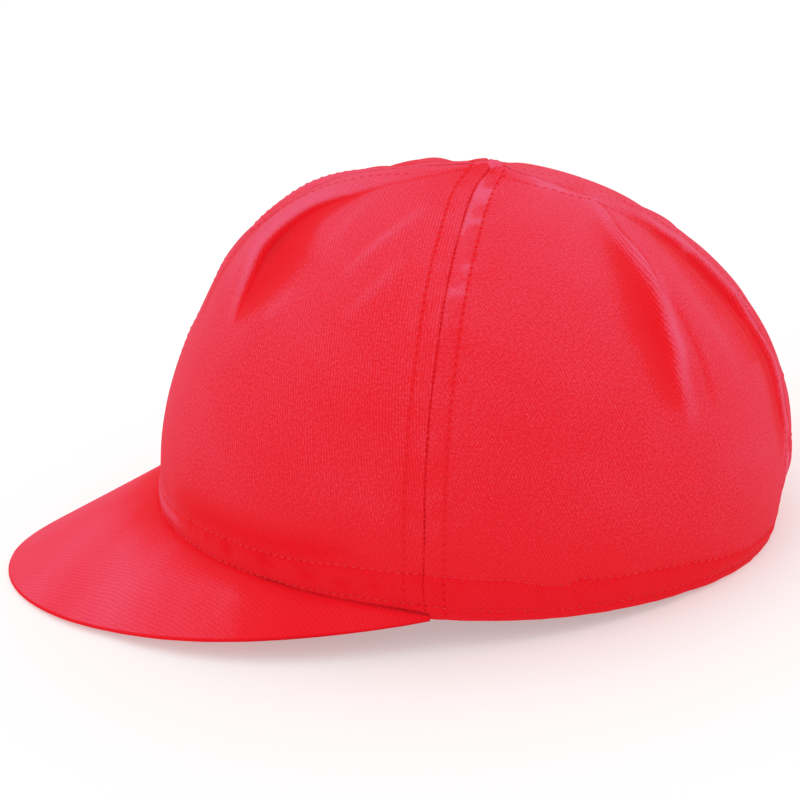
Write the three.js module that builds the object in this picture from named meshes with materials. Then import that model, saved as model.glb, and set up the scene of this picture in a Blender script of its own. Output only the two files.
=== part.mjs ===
import * as THREE from 'three';

// A cycling cap: a soft crown of four sewn panels, a turned-in hem and one curved peak.
// Millimetres. The front is -Y, the wearer's left is +X and up is +Z.
// The cap lies on the plane z = 0, on the front edge of its peak and the back of its hem.
// Its shape is written for a level hem, and then tipped back onto that plane.

// Cloth
const PANEL_CLOTH = 1.4; // wall of a crown panel
const HEM_CLOTH = 1.2; // wall of the cloth turned up inside the hem
const PEAK_CLOTH = 2.2; // the peak's two layers and what stiffens them
const SEW_GAP = 0.3; // clearance between two sewn pieces
const PEAK_GAP = 0.45; // clearance between the peak and the crown's smooth outer face

// Hem and peak
const HEM_HEIGHT = 14; // from the cap's lower edge to the hem's upper stitch line
const PEAK_SIDE = 83.9; // half width of the peak at its corners
const PEAK_CORNER_Y = 2.8; // the corners lie this far behind the side seams
const PEAK_TIP_Y = -153.9; // tip of the peak, 53 mm in front of the hem
const PEAK_DROP = 30.2; // tip of the peak below the hem
const PEAK_SQUARE = 1.49; // 1 is an ellipse, more is fuller at the front
const PEAK_ROOT_HEIGHT = 1.8; // middle of the peak's thickness where it meets the hem's corners
const PEAK_ROOT_RISE = 1.8; // how much higher it meets the hem between a corner and the front
const PEAK_ROOT_SHARE = 0.5; // how far inside the peak's edge its root is looked for
const PEAK_FLARE_END = 0.69; // share of the way to the tip where the sides stop standing out
const PEAK_FLARE_RISE = 0.4; // how much they rise for each millimetre they stand out
const PEAK_ARCH = 2; // how far the peak swells above a straight line from hem to edge
const PEAK_ARCH_SHARE = 0.06; // the swell of a narrow stretch, as a share of its width
const PEAK_ARCH_FADE = [-45, 20]; // degrees along the edge over which the swell grows from none

// The halves of the peak, of which the wearer's right one is bent closer to the head.
// waist: share by which a half draws in towards the tip.
// flare: how far its side stands out between corner and tip. curve: under 1 the edge falls early.
const PEAK_HALVES = {
  left: { waist: 0.155, flare: 5.5, curve: 0.84 },
  right: { waist: 0.333, flare: 0, curve: 0.82 },
};

// Rest
const SETTLE = 1.1; // cloth pressed flat where the cap touches the plane
const HALF_LENGTH_SHIFT = 23.4; // moves the middle of the cap's length to y = 0

// Fineness
const PANEL_COLUMNS = 22;
const PANEL_ROWS = 24;
const HEM_COLUMNS = 72;
const HEM_ROWS = 3;
const PEAK_COLUMNS = 40;
const PEAK_ROWS = 8;
const PEAK_EDGE_ROWS = 1.9; // above 1 the rows crowd towards the peak's edge
const FOLD_STEPS = 10;
const TIP_LEVEL = 8.94; // where a panel's point stops short of the apex
const PEAK_END = 89.5; // degrees at which the peak's corner stops, still a little wide

// Level sections of the crown, from the hem's edge to the apex.
// height: above the hem's edge. front, back: y where the section crosses the middle plane.
// side: half width at the side seams. seam: y of the side seams. round: 2 is an ellipse.
const SECTIONS = [
  { height: 0, front: -100.6, back: 101.4, side: 84, seam: 0.3, round: 2 },
  { height: 11.3, front: -100.2, back: 104.1, side: 86.3, seam: -0.3, round: 2 },
  { height: 28.3, front: -98.7, back: 106.8, side: 88.3, seam: 0.1, round: 2.05 },
  { height: 47.2, front: -94.1, back: 104.3, side: 88.2, seam: 0.3, round: 2.05 },
  { height: 66.1, front: -86.8, back: 95.9, side: 83.2, seam: 0.7, round: 2 },
  { height: 83.1, front: -78.4, back: 82.3, side: 72.6, seam: 1.3, round: 1.95 },
  { height: 97.3, front: -66.1, back: 66, side: 57, seam: 1.8, round: 1.9 },
  { height: 108.6, front: -49.5, back: 46, side: 36.6, seam: 2.8, round: 1.85 },
  { height: 116.1, front: -28.3, back: 22.1, side: 14.2, seam: 4.5, round: 1.8 },
  { height: 120.9, front: 9.1, back: 9.1, side: 0, seam: 9.1, round: 1.8 },
];

// Folds of the loose cloth. They lie on both sides of the cap, but are weaker on the wearer's right.
// Angles are in degrees round the crown: -90 front seam, 0 side seam, 90 back seam.
// Levels count the sections above, 0 at the hem's edge and 9 at the apex.
// A fold runs top, middle, foot. rise: above 0 a ridge, below 0 a valley. spread: half width.
const FOLDS = [
  { top: [-50, 8.6], middle: [-66, 6.5], foot: [-57, 4.6], rise: -2, spread: 4.5 }, // front crease
  { top: [-64, 8.2], middle: [-76, 6.8], foot: [-66, 4.9], rise: 1.4, spread: 5 }, // in front of it
  { top: [-46, 7.6], middle: [-44, 6.9], foot: [-42, 6.2], rise: 0.5, spread: 3 },
  { top: [-18, 7.6], middle: [-26, 6.8], foot: [-31, 6.0], rise: 0.8, spread: 3 },
  { top: [66, 7.0], middle: [56.5, 5.7], foot: [49, 3.8], rise: -2.3, spread: 6 }, // broad back valley
  { top: [88.5, 7.4], middle: [68.6, 6.4], foot: [62, 5.5], rise: 1.3, spread: 3 }, // ridge behind it
  { top: [63, 5.6], middle: [57, 4.8], foot: [51, 3.4], rise: 1.1, spread: 3 },
  { top: [74, 5.9], middle: [70, 4.8], foot: [66, 3.7], rise: 0.9, spread: 4 },
  { top: [91, 7.2], middle: [88.5, 5.2], foot: [79, 2.8], rise: -2.8, spread: 4.5 }, // by the back seam
];
const RIGHT_SHARE = 0.6;
const RIGHT_BLEND = 14; // width beside the middle plane over which the folds weaken

// Valleys that only the wearer's right side has, which dent the cap's outline. Angles go on below -90.
const RIGHT_FOLDS = [
  { top: [-118, 8.3], middle: [-120, 7.1], foot: [-122, 5.6], rise: -1.2, spread: 5 },
  { top: [-141, 8.3], middle: [-141, 7.2], foot: [-140, 5.6], rise: -1.9, spread: 3.2 },
  { top: [-168, 8.5], middle: [-168, 7.2], foot: [-168, 5.8], rise: -1.4, spread: 5 },
];
const FOLD_END = 0.6; // under 1 a fold keeps its height near both of its ends

const CLOTH_COLOUR = 0xea303d;
const CLOTH_ROUGHNESS = 0.9;

const radians = THREE.MathUtils.degToRad;

// The hem's back and the tip of the peak touch the plane together.
const TOUCH_DEPTH = PEAK_DROP + PEAK_CLOTH / 2;
const REST_PITCH = Math.atan2(TOUCH_DEPTH, SECTIONS[0].back - PEAK_TIP_Y);
const REST_LIFT = SECTIONS[0].back * Math.sin(REST_PITCH) - SETTLE;

// Tips a point of the level cap back onto the plane, and presses flat what would go below it.
function rest(point) {
  const cos = Math.cos(REST_PITCH);
  const sin = Math.sin(REST_PITCH);
  return new THREE.Vector3(
    point.x,
    point.y * cos + point.z * sin + HALF_LENGTH_SHIFT,
    Math.max(0, point.z * cos - point.y * sin + REST_LIFT),
  );
}

// One column of the table of sections at a level between its rows, on a smooth curve.
function sectionValue(column, level) {
  const last = SECTIONS.length - 1;
  const row = Math.min(last - 1, Math.floor(level));
  const at = (index) => SECTIONS[index][column];
  const here = at(row);
  const next = at(row + 1);
  const before = row > 0 ? at(row - 1) : 2 * here - next;
  const after = row + 2 <= last ? at(row + 2) : 2 * next - here;
  const t = level - row;
  const linear = next - before;
  const square = 2 * before - 5 * here + 4 * next - after;
  const cube = 3 * here - before - 3 * next + after;
  return 0.5 * (2 * here + t * (linear + t * (square + t * cube)));
}

// A point of the crown's outer face without its folds.
function smoothCrown(degrees, level) {
  const value = (column) => sectionValue(column, level);
  const power = 2 / value('round');
  const cos = Math.cos(radians(degrees));
  const sin = Math.sin(radians(degrees));
  const reach = sin < 0 ? value('seam') - value('front') : value('back') - value('seam');
  return new THREE.Vector3(
    value('side') * Math.sign(cos) * Math.abs(cos) ** power,
    value('seam') + reach * Math.sign(sin) * Math.abs(sin) ** power,
    value('height'),
  );
}

// The outward direction of the crown at a point, from its neighbours on the smooth face.
// It turns level towards the hem's edge, so that the edge is cut square.
function crownNormal(degrees, level) {
  const turn = 1;
  const climb = 0.04;
  const top = SECTIONS.length - 1;
  const round = smoothCrown(degrees + turn, level).sub(smoothCrown(degrees - turn, level));
  const up = smoothCrown(degrees, Math.min(top, level + climb));
  up.sub(smoothCrown(degrees, Math.max(0, level - climb)));
  const normal = round.cross(up).normalize();
  normal.z *= Math.min(1, level);
  return normal.normalize();
}

// A fold's course over the smooth crown, as points with their share of its full height.
function foldCourse(fold) {
  const points = [];
  for (let step = 0; step <= FOLD_STEPS; step += 1) {
    const t = step / FOLD_STEPS;
    const bend = (a, b, c) => (1 - t) ** 2 * a + 2 * t * (1 - t) * (2 * b - (a + c) / 2) + t ** 2 * c;
    const degrees = bend(fold.top[0], fold.middle[0], fold.foot[0]);
    const level = bend(fold.top[1], fold.middle[1], fold.foot[1]);
    points.push({ place: smoothCrown(degrees, level), share: Math.sin(Math.PI * t) ** FOLD_END });
  }
  return { ...fold, points };
}

const COURSES = FOLDS.map(foldCourse);
const RIGHT_COURSES = RIGHT_FOLDS.map(foldCourse);

// How far some folds lift the cloth at a point of the smooth crown.
function totalRise(courses, point) {
  let total = 0;
  for (const course of courses) {
    let strongest = 0;
    for (let step = 0; step < FOLD_STEPS; step += 1) {
      const from = course.points[step];
      const to = course.points[step + 1];
      const line = new THREE.Line3(from.place, to.place);
      const share = line.closestPointToPointParameter(point, true);
      const away = line.at(share, new THREE.Vector3()).distanceTo(point) / course.spread;
      const height = THREE.MathUtils.lerp(from.share, to.share, share);
      strongest = Math.max(strongest, height * Math.exp(-away * away));
    }
    total += course.rise * strongest;
  }
  return total;
}

// How far all folds lift the cloth at a point of the smooth crown.
function foldRise(point) {
  const mirrored = new THREE.Vector3(Math.abs(point.x), point.y, point.z);
  const left = THREE.MathUtils.smoothstep(point.x, -RIGHT_BLEND, 0);
  const share = THREE.MathUtils.lerp(RIGHT_SHARE, 1, left);
  return share * totalRise(COURSES, mirrored) + totalRise(RIGHT_COURSES, point);
}

// A point of the folded crown, a depth inside its outer face.
function crownPoint(degrees, level, depth) {
  const point = smoothCrown(degrees, level);
  return point.addScaledVector(crownNormal(degrees, level), foldRise(point) - depth);
}

// The level at which the crown has a height.
function levelAt(height) {
  const accuracy = 1e-6;
  let low = 0;
  let high = SECTIONS.length - 1;
  while (high - low > accuracy) {
    const middle = (low + high) / 2;
    if (sectionValue('height', middle) < height) low = middle;
    else high = middle;
  }
  return low;
}

// A closed wall between an outer and an inner grid of points.
// outer(u, v) and inner(u, v) give points for u and v from 0 to 1. A ring joins u = 1 to u = 0.
function wall(columns, rows, outer, inner, ring = false) {
  const across = ring ? columns : columns + 1;
  const positions = [];
  const triangles = [];
  for (const face of [outer, inner]) {
    for (let row = 0; row <= rows; row += 1) {
      for (let column = 0; column < across; column += 1) {
        positions.push(...rest(face(column / columns, row / rows)).toArray());
      }
    }
  }
  const innerStart = across * (rows + 1);
  const id = (column, row, start) => start + row * across + (column % across);
  const apart = (a, b) => {
    const [from, to] = [a, b].map((index) => new THREE.Vector3().fromArray(positions, 3 * index));
    return from.distanceTo(to);
  };
  const quad = (a, b, c, d) => {
    if (apart(a, c) <= apart(b, d)) triangles.push(a, b, c, a, c, d);
    else triangles.push(b, c, d, b, d, a);
  };
  for (let column = 0; column < columns; column += 1) {
    for (let row = 0; row < rows; row += 1) {
      const corners = [[0, 0], [1, 0], [1, 1], [0, 1]].map(([c, r]) => [column + c, row + r]);
      quad(...corners.map(([c, r]) => id(c, r, 0)));
      quad(...corners.reverse().map(([c, r]) => id(c, r, innerStart)));
    }
    for (const [row, from, to] of [[0, column + 1, column], [rows, column, column + 1]]) {
      quad(id(from, row, 0), id(to, row, 0), id(to, row, innerStart), id(from, row, innerStart));
    }
  }
  for (let row = 0; row < rows && !ring; row += 1) {
    for (const [column, from, to] of [[0, row, row + 1], [columns, row + 1, row]]) {
      quad(id(column, from, 0), id(column, to, 0), id(column, to, innerStart), id(column, from, innerStart));
    }
  }
  const geometry = new THREE.BufferGeometry();
  geometry.setAttribute('position', new THREE.Float32BufferAttribute(positions, 3));
  geometry.setIndex(triangles);
  geometry.computeVertexNormals();
  return geometry;
}

function clothMesh(name, geometry) {
  const material = new THREE.MeshStandardMaterial({
    color: CLOTH_COLOUR,
    roughness: CLOTH_ROUGHNESS,
    metalness: 0,
    flatShading: true,
  });
  const mesh = new THREE.Mesh(geometry, material);
  mesh.name = name;
  return mesh;
}

// A quarter of the crown between two seams, moved half a gap away from both.
function crownPanel(name, start, end) {
  const middle = radians((start + end) / 2);
  const away = new THREE.Vector3(Math.sign(Math.cos(middle)), Math.sign(Math.sin(middle)), 0);
  away.multiplyScalar(SEW_GAP / 2);
  const at = (depth) => (u, v) => {
    const degrees = THREE.MathUtils.lerp(start, end, u);
    return crownPoint(degrees, v * TIP_LEVEL, depth).add(away);
  };
  return clothMesh(name, wall(PANEL_COLUMNS, PANEL_ROWS, at(0), at(PANEL_CLOTH)));
}

// The cloth turned up inside the crown, one ring behind all four panels.
function hemBand() {
  const topLevel = levelAt(HEM_HEIGHT);
  const outside = PANEL_CLOTH + SEW_GAP;
  const at = (depth) => (u, v) => crownPoint(360 * u, v * topLevel, depth);
  return clothMesh('hem_band', wall(HEM_COLUMNS, HEM_ROWS, at(outside), at(outside + HEM_CLOTH), true));
}

// The peak's outer edge: degrees run from -90 at the right corner to 90 at the left one.
function peakEdge(degrees) {
  const half = degrees < 0 ? PEAK_HALVES.right : PEAK_HALVES.left;
  const reach = Math.cos(radians(degrees));
  const bend = reach ** PEAK_SQUARE;
  const width = PEAK_SIDE * Math.sqrt(1 - bend * bend) * (1 - half.waist * bend * bend);
  const flare = half.flare * Math.sin(Math.PI * Math.min(1, reach / PEAK_FLARE_END));
  return new THREE.Vector3(
    Math.sign(degrees) * (width + flare),
    THREE.MathUtils.lerp(PEAK_CORNER_Y, PEAK_TIP_Y, reach),
    -PEAK_DROP * reach ** half.curve + flare * PEAK_FLARE_RISE,
  );
}

// Moves a point that lies too near the hem, or under it, straight out until it is clear.
function clearOfHem(point) {
  const level = levelAt(Math.max(0, point.z));
  const seam = sectionValue('seam', level);
  const side = sectionValue('side', level) + PEAK_GAP;
  const front = seam - sectionValue('front', level) + PEAK_GAP;
  const share = Math.hypot(point.x / side, (point.y - seam) / front);
  if (share < 1) point.set(point.x / share, seam + (point.y - seam) / share, point.z);
  return point;
}

// The middle of the peak's thickness: across runs along its edge, out from the hem to the edge.
function peakMiddle(across, out) {
  const edge = peakEdge(across);
  const reach = Math.cos(radians(across));
  const root = edge.clone().multiplyScalar(PEAK_ROOT_SHARE);
  root.z = PEAK_ROOT_HEIGHT + PEAK_ROOT_RISE * Math.sin(Math.PI * Math.sqrt(Math.max(0, reach)));
  clearOfHem(root);
  const arch = PEAK_ARCH * THREE.MathUtils.smoothstep(across, ...PEAK_ARCH_FADE);
  const swell = Math.min(arch, edge.distanceTo(root) * PEAK_ARCH_SHARE);
  const point = root.lerp(edge, out);
  point.z += swell * Math.sin(Math.PI * out);
  return point;
}

function peak() {
  const step = 0.01;
  const turn = 0.1;
  const at = (side) => (u, row) => {
    const across = THREE.MathUtils.lerp(PEAK_END, -PEAK_END, u);
    const v = 1 - (1 - row) ** PEAK_EDGE_ROWS;
    const along = peakMiddle(across + turn, v).sub(peakMiddle(across - turn, v));
    const out = peakMiddle(across, v + step).sub(peakMiddle(across, v - step));
    const up = out.cross(along).normalize();
    return clearOfHem(peakMiddle(across, v).addScaledVector(up, side * PEAK_CLOTH / 2));
  };
  return clothMesh('peak', wall(PEAK_COLUMNS, PEAK_ROWS, at(1), at(-1)));
}

const cap = new THREE.Group();
cap.name = 'cycling_cap';
cap.add(
  crownPanel('front_left_panel', -90, 0),
  crownPanel('back_left_panel', 0, 90),
  crownPanel('back_right_panel', 90, 180),
  crownPanel('front_right_panel', 180, 270),
  hemBand(),
  peak(),
);

export default cap;
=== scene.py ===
import math

import bpy
import numpy as np
from mathutils import Matrix, Vector

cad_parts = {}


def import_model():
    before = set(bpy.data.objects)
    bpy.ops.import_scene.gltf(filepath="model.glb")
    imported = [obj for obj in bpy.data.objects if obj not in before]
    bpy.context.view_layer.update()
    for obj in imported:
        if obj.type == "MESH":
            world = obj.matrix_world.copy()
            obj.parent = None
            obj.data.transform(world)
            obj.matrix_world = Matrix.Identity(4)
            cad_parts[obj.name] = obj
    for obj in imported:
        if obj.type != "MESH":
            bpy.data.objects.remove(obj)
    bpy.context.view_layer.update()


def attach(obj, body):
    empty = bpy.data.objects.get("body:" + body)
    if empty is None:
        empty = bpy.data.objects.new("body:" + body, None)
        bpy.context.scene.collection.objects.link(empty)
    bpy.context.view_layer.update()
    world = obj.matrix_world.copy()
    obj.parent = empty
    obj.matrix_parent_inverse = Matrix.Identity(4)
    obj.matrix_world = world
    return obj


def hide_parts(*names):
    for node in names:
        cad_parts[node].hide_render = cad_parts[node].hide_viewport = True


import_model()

# A cycling cap of twill cloth: four sewn panels, a turned-in hem and one curved peak.
# Millimetres until a mesh is made. The front is -Y, the wearer's left is +X and up is +Z.
# The shape is written for a level hem, and then tipped back onto the floor.
# Degrees run round the crown: -90 at the front seam, 0 at the left side seam, 90 at the back
# seam and 180 at the right side seam. Levels run up it, as row numbers of the sections.
MM = 0.001

# Cloth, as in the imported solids
PANEL_CLOTH = 1.4
HEM_CLOTH = 1.2
PEAK_CLOTH = 2.2
SEW_GAP = 0.3
HEM_HEIGHT = 14

# Peak
PEAK_SIDE = 83.9
PEAK_CORNER_Y = 2.8
PEAK_TIP_Y = -153.9
PEAK_DROP = 30.2
PEAK_SQUARE = 1.49
PEAK_ROOT_HEIGHT = 1.8
PEAK_ROOT_RISE = 1.8
PEAK_ROOT_SHARE = 0.5
PEAK_FLARE_END = 0.69
PEAK_FLARE_RISE = 0.4
PEAK_ARCH = 2
PEAK_ARCH_SHARE = 0.06
PEAK_ARCH_FADE = (-45, 20)
PEAK_END = 89.5
PEAK_SEAT = -0.4
PEAK_RIB_PITCH = 1.5
PEAK_RIB_DEPTH = 0.1
# For each half of the peak: share drawn in towards the tip, how far the side stands out, and how
# early it falls
PEAK_HALVES = {"left": (0.155, 5.5, 0.84), "right": (0.333, 0, 0.82)}

# Rest
SETTLE = 1.1
HALF_LENGTH_SHIFT = 23.4

# Level sections of the crown, from the hem's edge to the apex. side: half width. front, back and
# seam: y of the front, of the back and of the side seams. round: 2 is an ellipse.
SECTION_COLUMNS = ("height", "front", "back", "side", "seam", "round")
SECTION_ROWS = (
    (0, -100.6, 101.4, 84, 0.3, 2),
    (11.3, -100.2, 104.1, 86.3, -0.3, 2),
    (28.3, -98.7, 106.8, 88.3, 0.1, 2.05),
    (47.2, -94.1, 104.3, 88.2, 0.3, 2.05),
    (66.1, -86.8, 95.9, 83.2, 0.7, 2),
    (83.1, -78.4, 82.3, 72.6, 1.3, 1.95),
    (97.3, -66.1, 66, 57, 1.8, 1.9),
    (108.6, -49.5, 46, 36.6, 2.8, 1.85),
    (116.1, -28.3, 22.1, 14.2, 4.5, 1.8),
    (120.9, 9.1, 9.1, 0, 9.1, 1.8),
)
SECTIONS = {name: np.array(column, float) for name, column in zip(SECTION_COLUMNS, zip(*SECTION_ROWS))}
TOP_LEVEL = len(SECTION_ROWS) - 1
TIP_LEVEL = 8.94

# Soft folds of the loose cloth. path: where they run, as (degrees, level). rise: how far they rise.
# spread: their half width. The last column: the painted light and shade they leave in the colour, a
# painted highlight on raised folds and painted shade in sunken ones. They lie on both sides, weaker on
# the right.
FOLD_COLUMNS = ("path", "rise", "spread", "fade")
FOLD_ROWS = (
    (((-64, 8.2), (-76, 6.8), (-66, 4.9)), 1.2, 5, 0.3),
    (((-92, 5.0), (-90, 4.3), (-88, 3.6)), -0.6, 6, 0.1),
    (((-84, 7.4), (-86, 6.2), (-80, 5.0), (-76, 4.0)), -0.7, 2.6, -0.3),
    (((-46, 7.6), (-44, 6.9), (-42.7, 6.3)), 0.35, 2.0, 0.15),
    (((-18.4, 7.6), (-24.5, 7.0), (-27.7, 6.6), (-31, 6.0)), 0.8, 2.0, 0.3),
    (((-15.9, 6.6), (-20.1, 6.0), (-25.2, 5.4)), 0.5, 2.0, 0.2),
    (((-41.8, 5.7), (-46.9, 4.9)), 0.3, 2.5, 0.15),
    (((66, 7.0), (64, 6.6), (59, 6.15), (53.9, 5.3), (51.3, 4.6), (49, 3.8)), -1.2, 7, -0.2),
    (((88.5, 7.4), (72.5, 6.76), (68.6, 6.31), (64.3, 5.78), (62.7, 5.6)), 1.3, 2.0, 0.3),
    (((62.7, 5.7), (58, 5.03), (56.3, 4.7), (53.3, 4.3), (51, 3.5)), 1.1, 2.6, 0.35),
    (((64.7, 5.5), (64, 5.1), (62.1, 4.6), (60.4, 4.2), (58, 3.7)), -0.8, 1.8, -0.25),
    (((76, 6.1), (69.9, 5.2), (69.8, 4.4), (66, 3.7)), 0.9, 4, 0.12),
    (
        ((92, 6.8), (90, 6.2), (89.3, 5.4), (88.2, 5.1), (87, 4.6), (84.5, 3.8), (81, 3.2), (77, 2.6)),
        -1.2, 4.5, -0.35,
    ),
    (((52, 0.5), (70, 0.6), (86, 0.7)), 1.6, 8, 0),
)
# Folds that only the wearer's right side has
RIGHT_FOLD_ROWS = (
    (((-118, 8.3), (-120, 7.1), (-122, 5.6)), -2.0, 6, -0.3),
    (((-141, 8.3), (-139, 7.2), (-138, 5.6)), -2.4, 4.2, -0.4),
    (((-168, 8.5), (-168, 7.2), (-168, 5.8)), -1.4, 5, -0.3),
    (((171, 8.5), (171, 7.2), (170, 6)), -0.8, 4, -0.2),
)
FOLDS = [dict(zip(FOLD_COLUMNS, row)) for row in FOLD_ROWS]
RIGHT_FOLDS = [dict(zip(FOLD_COLUMNS, row)) for row in RIGHT_FOLD_ROWS]

# Creases of the left side, where the cloth drops sharply on one side and rises again slowly.
# side: 1 drops towards the back of the cap, -1 towards the front. edge: how wide the drop is.
# dark: how much painted shade each mm of drop leaves in the hollow. path: from the top down, as (degrees,
# level, depth of the drop, width of the hollow beside it).
CREASE_COLUMNS = ("side", "edge", "dark", "path")
CREASE_ROWS = (
    (1, 1.7, 1.0, (
        (-52, 8.85, 0.3, 1.5),
        (-49.8, 8.24, 0.5, 1.6),
        (-56.5, 7.68, 0.6, 2.2),
        (-67.6, 7.04, 1.5, 9),
        (-69.2, 6.43, 2.0, 15),
        (-67.4, 5.92, 2.1, 18),
        (-62.9, 5.50, 1.8, 16),
        (-59.5, 5.06, 1.2, 12),
        (-56.5, 4.6, 0, 5),
    )),
    (1, 1.6, 0.5, (
        (90, 7.7, 0, 2),
        (88.5, 7.38, 0.8, 2),
        (72.5, 6.76, 1.3, 2.2),
        (68.6, 6.31, 1.6, 2.4),
        (64.3, 5.78, 1.4, 2.2),
        (62.7, 5.5, 0.2, 2),
    )),
    (-1, 3.2, 0.45, (
        (80, 7.0, 0, 8),
        (68.6, 6.31, 1.0, 10),
        (64.3, 5.78, 1.6, 12),
        (60.5, 5.35, 1.9, 13),
        (58, 5.03, 2.0, 13),
        (56.3, 4.72, 1.8, 12),
        (53.3, 4.3, 1.2, 10),
        (52, 3.8, 0.4, 8),
        (50, 3.4, 0, 8),
    )),
    (-1, 3.0, 0.5, (
        (96, 6.9, 0, 8),
        (97, 6.4, 1.3, 10),
        (96.5, 5.8, 2.0, 15),
        (96.5, 5.2, 2.4, 18),
        (95.5, 4.6, 2.4, 19),
        (92, 4.1, 2.2, 17),
        (90.5, 3.6, 2.0, 14),
        (86, 3.1, 1.6, 10),
        (82, 2.5, 0.8, 7),
        (78, 2, 0, 5),
    )),
)
CREASES = [dict(zip(CREASE_COLUMNS, row)) for row in CREASE_ROWS]
# Painted highlight on the lip beside each crease, per mm of drop
CREASE_LIP_HIGHLIGHT = 0.2
CREASE_HOLLOW = 0.7
# How squarely the hollow and its painted shade end
HOLLOW_POWER = 1.4
SHADE_POWER = 2.5
CROWN_CENTRE = (0, 0, 20)
FOLD_STEPS = 6
FOLD_END = 0.6
RIGHT_SHARE = 0.6
RIGHT_BLEND = 14

# How far the seams in front and behind wander from the middle plane: level, degrees of the front
# seam, degrees of the back seam
SEAM_DRIFT_ROWS = (
    (0, 0, 0),
    (1.6, -2, -4),
    (2.4, -3, -5),
    (3.0, -4, -2),
    (3.4, -4, 2),
    (4.2, -4, 6),
    (4.9, -4, 8),
    (5.7, -4, 8),
    (6.4, -4, 8),
    (7.2, -4, 8),
    (8.2, -2, 5),
    (9, 0, 0),
)
DRIFT_LEVELS, FRONT_DRIFT, BACK_DRIFT = zip(*SEAM_DRIFT_ROWS)
DRIFT_KNOTS = 41
DRIFT_BLUR = 7

# The hem's upper stitch line, as (degrees, height above the hem's edge). It wavers where the band
# behind it was caught unevenly.
HEM_LINE = (
    (-90, 10.5), (-68, 10.2), (-50, 13.1), (-33, 14.2), (-23, 15.3), (-16, 16.8), (0, 17.1),
    (8, 16.2), (15, 15.6), (20, 13.3), (24.5, 12.3), (27, 14.5), (33, 13.1), (40, 13.3),
    (46, 12.3), (54, 10.5), (61, 9.3), (74, 8.2), (90, 8.6),
)
# The lower stitch line, which in front runs just above the peak
LOWER_LINE = (
    (-90, 4.2), (-76, 4.2), (-44, 4.4), (-27, 4.6), (-14, 5.8),
    (-1, 5.6), (6, 4.2), (30, 3.4), (60, 3.6), (90, 3.8),
)

# Puckers of the hem in front: degrees, height, half width, depth
HEM_PUCKERS = (
    (-53, 11.5, 1.8, 0.4),
    (-47, 10.8, 1.6, 0.3),
    (-41, 10.2, 2.6, 0.65),
    (-31, 11.2, 3.2, 0.75),
    (-21.7, 10.6, 3.2, 0.7),
    (-15, 9.8, 2.6, 0.6),
    (-9, 11.0, 2.2, 0.4),
)
PUCKER_HEIGHT = 2.4
HEM_MM_PER_DEGREE = 1.6

# Stitches
STITCH_PITCH = 2.85
STITCH_LENGTH = 2.3
THREAD_RADIUS = 0.17
SEAM_ROW = 6.2

# Relief of the cloth beside seams and along the hem
SEAM_ROLL = 0.4
SEAM_DEPTH = 0.38
ALLOWANCE_LIFT = 0.15
ROW_DEPTH = 0.08
ROW_WIDTH = 0.6
HOLE_DEPTH = 0.28
HOLE_WIDTH = 0.32
# By seam: how much its own stitches and its rows show, and how much the cloth beside it puckers
SEAM_LOOK = {-90: (0.08, 0.4), 0: (1, 1), 90: (0.35, 1.6), 180: (1, 1)}
SEAM_DOT_PITCH = 1.9
SEAM_DOT_WIDTH = 0.36
SEAM_DOT_DEPTH = 0.4
SEAM_DOT_SEED = 90
SEAM_SEED = 300
CLOTH_GAP = 0.06
HEM_ROLL = 0.9
HEM_ROLL_DEPTH = 0.7
HEM_SWELL = 0.4
EDGE_SWELL = 0.3

# Uneven waves of the cloth: height, width, and below 1 where they are drawn out along y
CROWN_WAVES = ((0.22, 34, 1), (0.12, 13, 1))
SEAM_WAVES = ((0.16, 5, 1), (0.07, 2.6, 0.4))
HEM_WAVES = ((0.2, 6, 0.5), (0.12, 3, 0.3))
PEAK_WAVES = ((0.25, 21, 1), (0.12, 8, 1))

# Painted light and shade in the cloth's colour, where 0 is plain, 1 a pale painted highlight and -1 deep
# red painted
# shade: lighter with height, a painted sheen towards the front and back, highlights on high cloth, and
# painted shade beside seams, stitches and puckers
PAINTED_LIGHT_BY_HEIGHT = ((0, -0.16), (20, -0.1), (40, 0.03), (66, 0.05), (97, 0.2), (113, 0.28), (121, 0.22))
PAINTED_SHEEN_EDGE = 0.4
PAINTED_RELIEF_LIGHT = 0.5
# Hem: painted shade over the band and where the crown bags over it, painted highlights along its upper
# line and at the far front, painted shade in puckers
PAINTED_HEM_SHADE = 0.6
# Seams: pale painted highlights on raised puckers beside them, and painted shade in their dots, stitch
# rows and holes
STRIP_HIGHLIGHT = 1.0
STRIP_LEVEL = 5.4
STRIP_DEEP = 0.1
BACK_HIGHLIGHTS = 0.45
DOT_SHADE = 1.9
ROW_SHADE = 0.15
HOLE_SHADE = 2.1
BAG_SHADE = 0.9
LINE_HIGHLIGHT = 0.4
FAR_HEM_HIGHLIGHT = 0.9
PUCKER_SHADE = 0.35
TONE_BLUR = 22
# The peak's painted light and shade: plain, a painted highlight away from the crown and on high cloth,
# and painted shade at its corners, along its rim and at its root
PEAK_LIGHT_BASE = 0.03
PEAK_HIGHLIGHT_OUT = 0.5
PEAK_WAVE_HIGHLIGHT = 0.6
PEAK_CORNER_SHADE = 1.1
PEAK_RIM_SHADE = 1.6
PEAK_ROOT_SHADE = 1.2

# How far the cloth's ribs lean over towards the panel's first seam per mm: height along the panel,
# lean of the front panels, lean of the back panels
WEAVE_ROWS = (
    (0, -0.13, -0.4),
    (25, -0.155, -0.42),
    (35, -0.2, -0.47),
    (46, -0.28, -0.54),
    (56, -0.39, -0.51),
    (65, -0.44, -0.32),
    (75, -0.44, -0.2),
    (87, -0.52, -0.1),
    (97, -0.58, -0.04),
    (108, -0.65, 0),
    (130, -0.68, -0.04),
)
WEAVE_HEIGHTS, FRONT_LEANS, BACK_LEANS = zip(*WEAVE_ROWS)

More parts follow.
